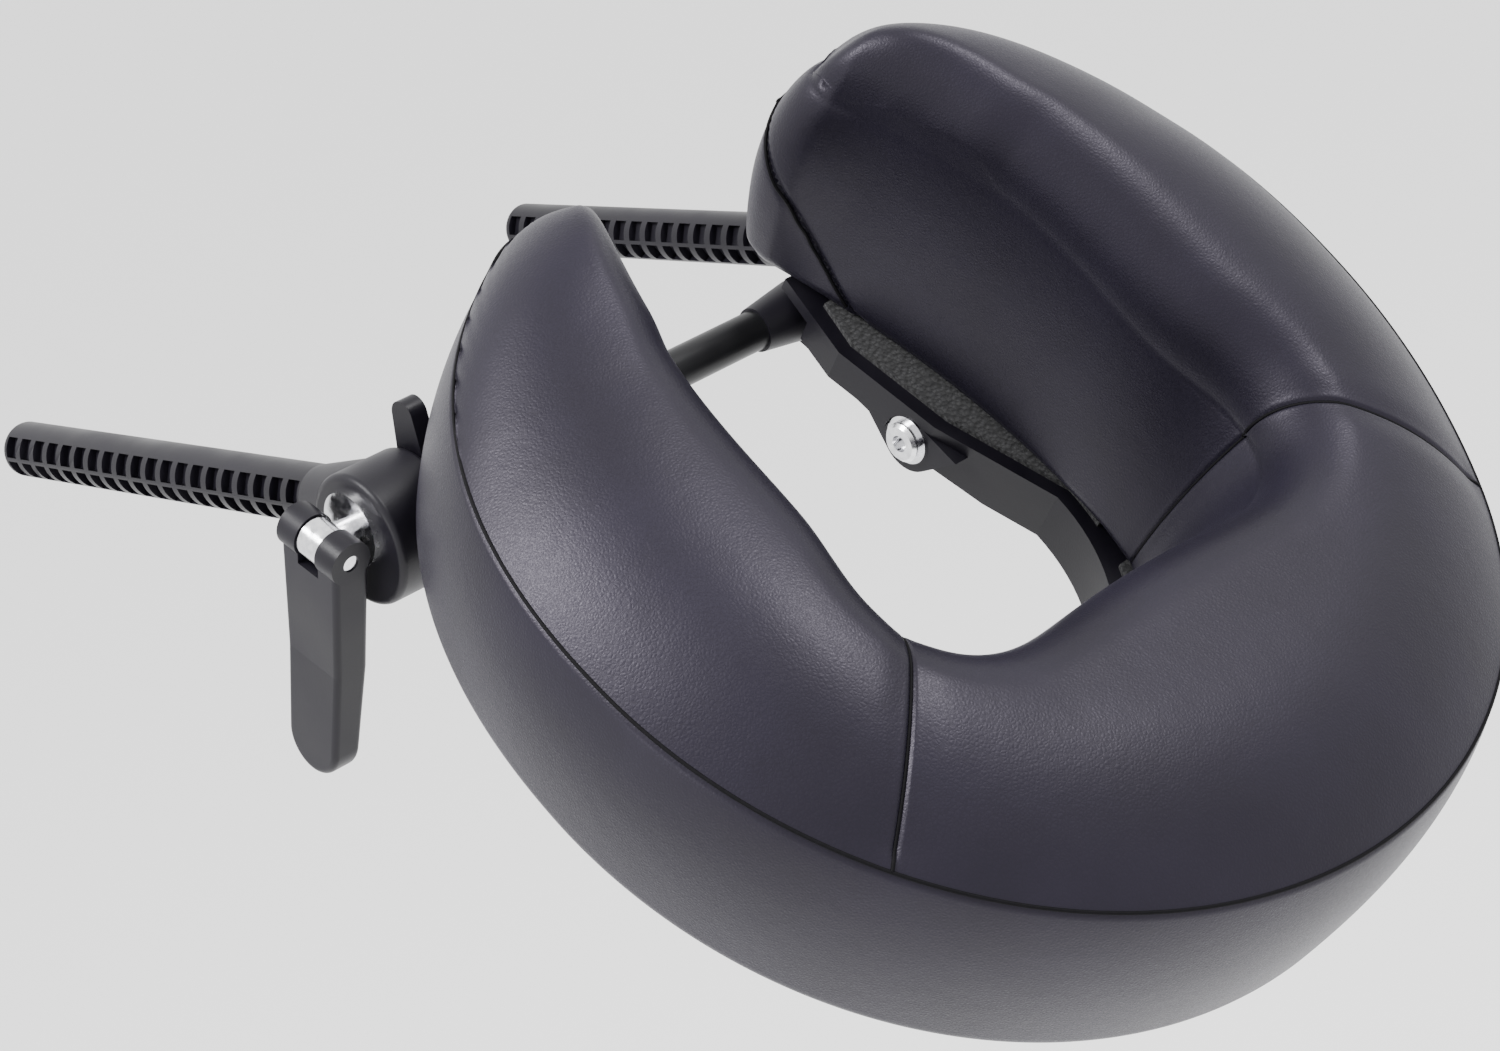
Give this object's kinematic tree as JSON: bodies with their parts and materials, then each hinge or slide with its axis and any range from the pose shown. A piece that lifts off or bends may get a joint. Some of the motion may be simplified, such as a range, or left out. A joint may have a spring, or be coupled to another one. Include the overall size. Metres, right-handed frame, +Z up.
{
  "type": "face cradle cushion",
  "caption": "U-shaped padded face cradle in dark leatherette on a tilting platform, with ribbed support posts and clamp levers for a massage table.",
  "frame": {"origin": "midway between the two support posts, at the height of their axes, above the crossbar", "axes": "+X across the cradle along the crossbar, +Y along the posts into the massage table, +Z up"},
  "size_m": [0.286, 0.4497, 0.2336],
  "materials": {
    "black_plastic": "fine satin moulded",
    "bright_steel": "bright plated",
    "black_bar": "matt black coated tube",
    "hook_tape": "hook tape",
    "black_leatherette": "fine grained satin leatherette",
    "foam": "open cell foam",
    "loop_cloth": "brushed loop cloth"
  },
  "bodies": {
    "base": {"left_post_housing": "black_plastic", "right_post_housing": "black_plastic", "clamp_rod": "bright_steel", "left_clamp_washer": "bright_steel", "right_clamp_washer": "bright_steel", "clamp_nut": "bright_steel"},
    "swing_arms": {"crossbar": "black_bar", "left_link_arm": "black_plastic", "right_link_arm": "black_plastic"},
    "platform": {"platform_tray": "black_plastic", "right_hook_tape": "hook_tape", "left_hook_tape": "hook_tape", "head_hook_tape": "hook_tape", "left_pivot_bolt": "bright_steel", "right_pivot_bolt": "bright_steel", "left_bolt_washer": "bright_steel", "right_bolt_washer": "bright_steel", "left_pivot_locknut": "bright_steel", "right_pivot_locknut": "bright_steel"},
    "cushion": {"cushion_foam": "foam", "cushion_base_cloth": "loop_cloth", "cushion_boxing_band": "black_leatherette", "cushion_left_panel": "black_leatherette", "cushion_right_panel": "black_leatherette", "cushion_head_panel": "black_leatherette"},
    "height_lever": {"height_lever": "black_plastic", "height_lever_pin": "bright_steel"},
    "tilt_lever": {"tilt_lever": "black_plastic"}
  },
  "joints": [
    {"name": "height_swing", "type": "hinge", "parent": "base", "child": "swing_arms", "pos_m": [0, 0, -0.002], "axis": [1, 0, 0], "range_deg": [-50, 10]},
    {"name": "platform_tilt", "type": "hinge", "parent": "swing_arms", "child": "platform", "pos_m": [0, -0.04378, -0.03808], "axis": [1, 0, 0], "range_deg": [0, 40]},
    {"name": "cushion_lift", "type": "slide", "parent": "platform", "child": "cushion", "axis": [0, -0.6782, 0.7349], "range_m": [0, 0.15]},
    {"name": "height_lever_open", "type": "hinge", "parent": "base", "child": "height_lever", "pos_m": [-0.1275, 0, -0.002], "axis": [0, 0.9063, 0.4226], "range_deg": [0, 95]},
    {"name": "tilt_lever_turn", "type": "hinge", "parent": "swing_arms", "child": "tilt_lever", "pos_m": [-0.09, 0, -0.002], "axis": [1, 0, 0], "range_deg": [-70, 0]}
  ]
}
